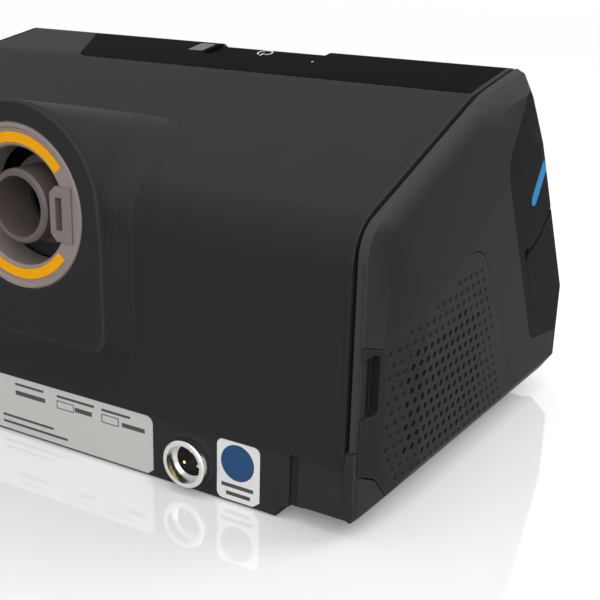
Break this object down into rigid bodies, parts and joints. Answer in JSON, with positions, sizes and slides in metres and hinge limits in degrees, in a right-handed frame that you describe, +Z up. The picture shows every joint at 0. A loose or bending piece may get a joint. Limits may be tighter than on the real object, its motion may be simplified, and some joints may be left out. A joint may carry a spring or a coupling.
{
  "type": "cpap machine",
  "caption": "Bedside breathing-therapy machine with a slide-out water tub, turning dial, sloped display, vented filter cover and ringed air outlet at the rear.",
  "frame": {"origin": "on the table under the middle of the body's box", "axes": "+X towards the water tub, -Y towards the front with the display, +Y towards the air outlet, +Z up"},
  "size_m": [0.205, 0.15, 0.1159],
  "materials": {
    "housing_plastic": "fine textured moulding",
    "bezel_plastic": "fine textured moulding",
    "cover_plastic": "fine textured moulding",
    "insert_plastic": "fine textured moulding, slightly warm",
    "base_plastic": "textured moulding",
    "fascia_plastic": "satin moulding",
    "black_gloss": "polished",
    "window_plastic": "polished, tinted",
    "dial_plastic": "satin with a polished rim",
    "trim_metal": "satin",
    "circuit_board": "solder resist",
    "electronic_parts": "moulded",
    "switch_metal": "plain",
    "display_module": "plain",
    "card_plastic": "moulded",
    "fastener_steel": "plated",
    "filter_felt": "felted fibre",
    "frame_plastic": "moulded",
    "blower_plastic": "moulded",
    "impeller_plastic": "moulded",
    "shaft_steel": "ground",
    "magnet": "sintered",
    "copper_windings": "varnished wire",
    "bearing_steel": "ground",
    "grey_rubber": "soft",
    "seal_silicone": "soft, translucent",
    "duct_plastic": "moulded",
    "outlet_grey": "fine textured moulding",
    "orange_marks": "moulded",
    "contact_grey": "fine textured moulding",
    "heater_metal": "machined",
    "insulator": "fibre board",
    "tub_clear": "clear, lightly tinted",
    "tub_plate_steel": "pressed",
    "lid_plastic": "smoked, translucent",
    "inlet_metal": "plated",
    "inlet_core": "moulded",
    "pin_gold": "plated",
    "label_silver": "printed film",
    "label_white": "printed film",
    "foot_rubber": "soft"
  },
  "bodies": {
    "machine": {"rear_housing": "housing_plastic", "left_end_bezel": "bezel_plastic", "right_end_bezel": "bezel_plastic", "base_chassis": "base_plastic", "front_fascia": "fascia_plastic", "top_band": "black_gloss", "light_sensor_window": "window_plastic", "start_board": "circuit_board", "panel_switches": "switch_metal", "lcd_lens": "black_gloss", "lcd_module": "display_module", "dial_ring": "trim_metal", "dial_encoder": "electronic_parts", "ui_board": "circuit_board", "main_board": "circuit_board", "board_parts": "electronic_parts", "modem_module": "display_module", "side_insert": "insert_plastic", "sd_socket": "switch_metal", "air_filter": "filter_felt", "filter_frame": "frame_plastic", "blower_lower": "blower_plastic", "blower_upper": "blower_plastic", "motor_stator": "copper_windings", "motor_bearings": "bearing_steel", "blower_mounts": "grey_rubber", "duct_bellows": "grey_rubber", "air_duct": "duct_plastic", "flow_sensor": "electronic_parts", "outlet_plenum": "duct_plastic", "outlet_port": "outlet_grey", "outlet_ring": "outlet_grey", "outlet_marks": "orange_marks", "contact_block": "contact_grey", "tub_bay": "base_plastic", "port_seals": "seal_silicone", "heater_plate": "heater_metal", "heater_insulator": "insulator", "power_inlet_shell": "inlet_metal", "power_inlet_core": "inlet_core", "power_pins": "pin_gold", "rear_label_plate": "label_silver", "disc_label": "label_white", "rubber_feet": "foot_rubber", "screws": "fastener_steel"},
    "start": {"start_button": "black_gloss"},
    "encoder": {"encoder_rotor": "pin_gold"},
    "dial": {"dial_knob": "dial_plastic"},
    "home": {"home_button": "dial_plastic"},
    "filter_door": {"filter_cover": "cover_plastic"},
    "card_door": {"sd_cover": "insert_plastic"},
    "card": {"sd_card": "card_plastic"},
    "tub": {"tub_base": "tub_clear", "tub_plate": "tub_plate_steel", "tub_seal": "seal_silicone", "tub_lid": "lid_plastic", "tub_front": "fascia_plastic"},
    "rotor": {"impeller": "impeller_plastic", "motor_shaft": "shaft_steel", "rotor_magnet": "magnet"}
  },
  "joints": [
    {"name": "start_press", "type": "slide", "parent": "machine", "child": "start", "axis": [0, -0.1702, -0.9854], "range_m": [0, 0.0008], "stiffness_N_per_m": 1500, "springref_m": -0.0003},
    {"name": "dial_turn", "type": "hinge", "parent": "machine", "child": "encoder", "pos_m": [-0.008, -0.04387, 0.0907], "axis": [0, -0.8588, 0.5122], "continuous": true},
    {"name": "dial_push", "type": "slide", "parent": "encoder", "child": "dial", "axis": [0, 0.8588, -0.5122], "range_m": [0, 0.0006], "stiffness_N_per_m": 3000, "springref_m": -0.0003},
    {"name": "home_press", "type": "slide", "parent": "machine", "child": "home", "axis": [0, 0.8588, -0.5122], "range_m": [0, 0.0006], "stiffness_N_per_m": 2500, "springref_m": -0.0003},
    {"name": "filter_door_hinge", "type": "hinge", "parent": "machine", "child": "filter_door", "pos_m": [-0.1025, -0.0354, 0.0076], "axis": [0, 0.5218, 0.853], "range_deg": [0, 60]},
    {"name": "card_door_hinge", "type": "hinge", "parent": "machine", "child": "card_door", "pos_m": [-0.1025, -0.06, 0.0345], "axis": [0, -1, 0], "range_deg": [0, 70]},
    {"name": "card_push", "type": "slide", "parent": "machine", "child": "card", "axis": [1, 0, 0], "range_m": [0, 0.0012], "stiffness_N_per_m": 800, "springref_m": -0.001},
    {"name": "tub_slide", "type": "slide", "parent": "machine", "child": "tub", "axis": [0, -1, 0], "range_m": [0, 0.13]},
    {"name": "rotor_spin", "type": "hinge", "parent": "machine", "child": "rotor", "pos_m": [-0.046, 0.028, 0.03], "axis": [0, 0, 1], "continuous": true}
  ]
}
